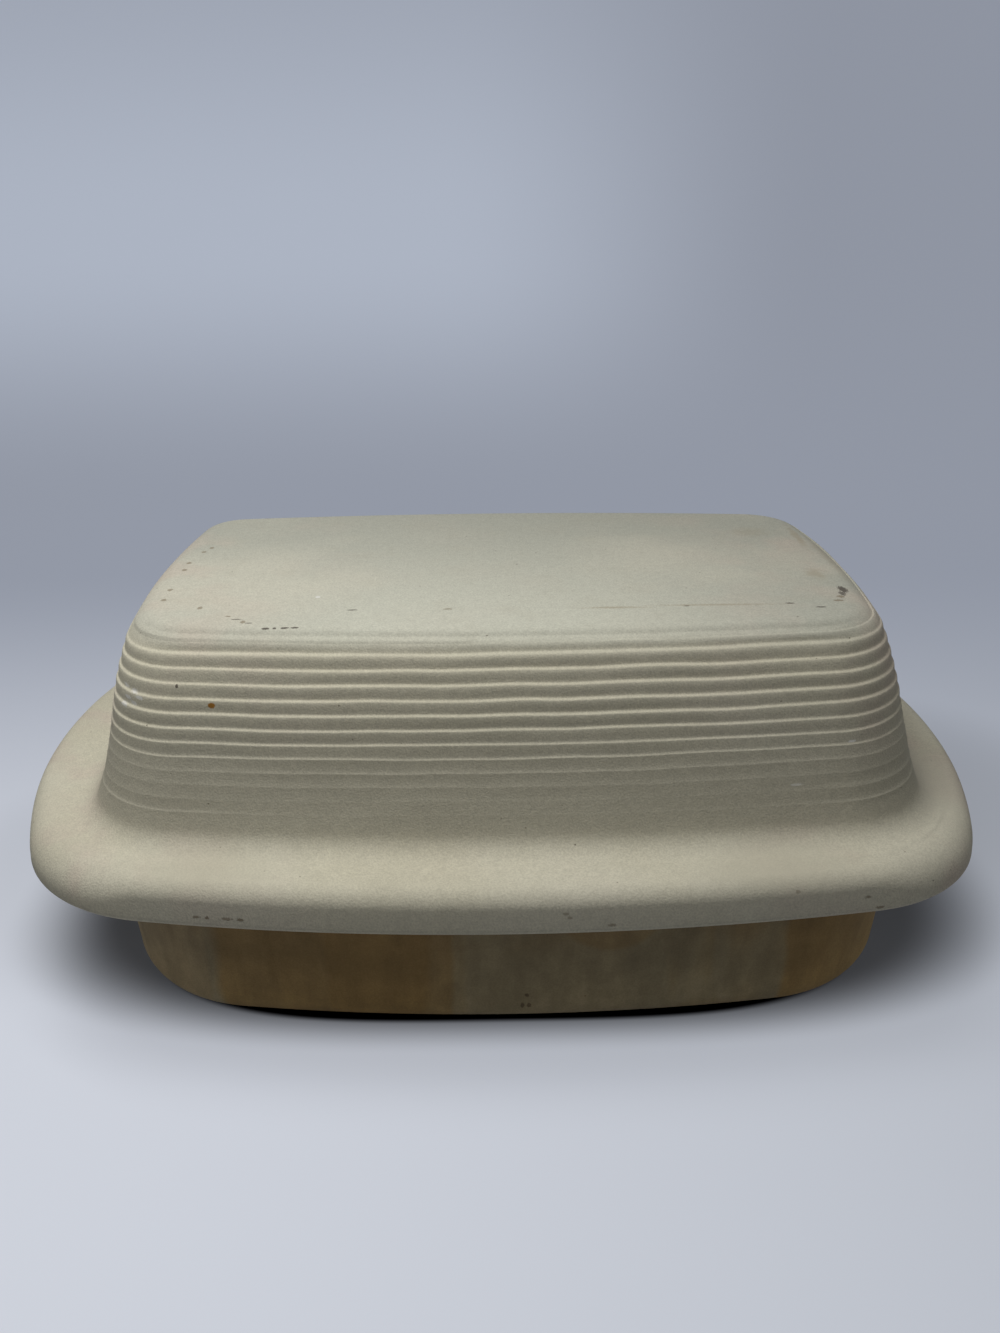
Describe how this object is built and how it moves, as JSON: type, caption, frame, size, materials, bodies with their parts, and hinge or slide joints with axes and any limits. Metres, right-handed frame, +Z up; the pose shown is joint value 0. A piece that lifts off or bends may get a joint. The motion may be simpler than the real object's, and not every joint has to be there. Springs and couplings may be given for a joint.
{
  "type": "covered stoneware roaster",
  "caption": "Shallow stoneware dish under a deep ringed stoneware cover with a wide flange and a down-turned lip, for roasting and baking covered.",
  "frame": {"origin": "middle of the dish's flat foot, on the surface that the roaster stands on", "axes": "+Z up, +X along the roaster's length, -Y towards the side that the picture shows"},
  "size_m": [0.37, 0.266, 0.1485],
  "materials": {
    "tan_stoneware": "matte, unglazed, toasted",
    "cream_stoneware": "matte, unglazed, fine sandy grain"
  },
  "bodies": {
    "dish": {"base_dish": "tan_stoneware"},
    "cover": {"deep_cover": "cream_stoneware"}
  },
  "joints": [
    {"name": "cover_lift", "type": "slide", "parent": "dish", "child": "cover", "axis": [0, 0, 1], "range_m": [0, 0.15]}
  ]
}
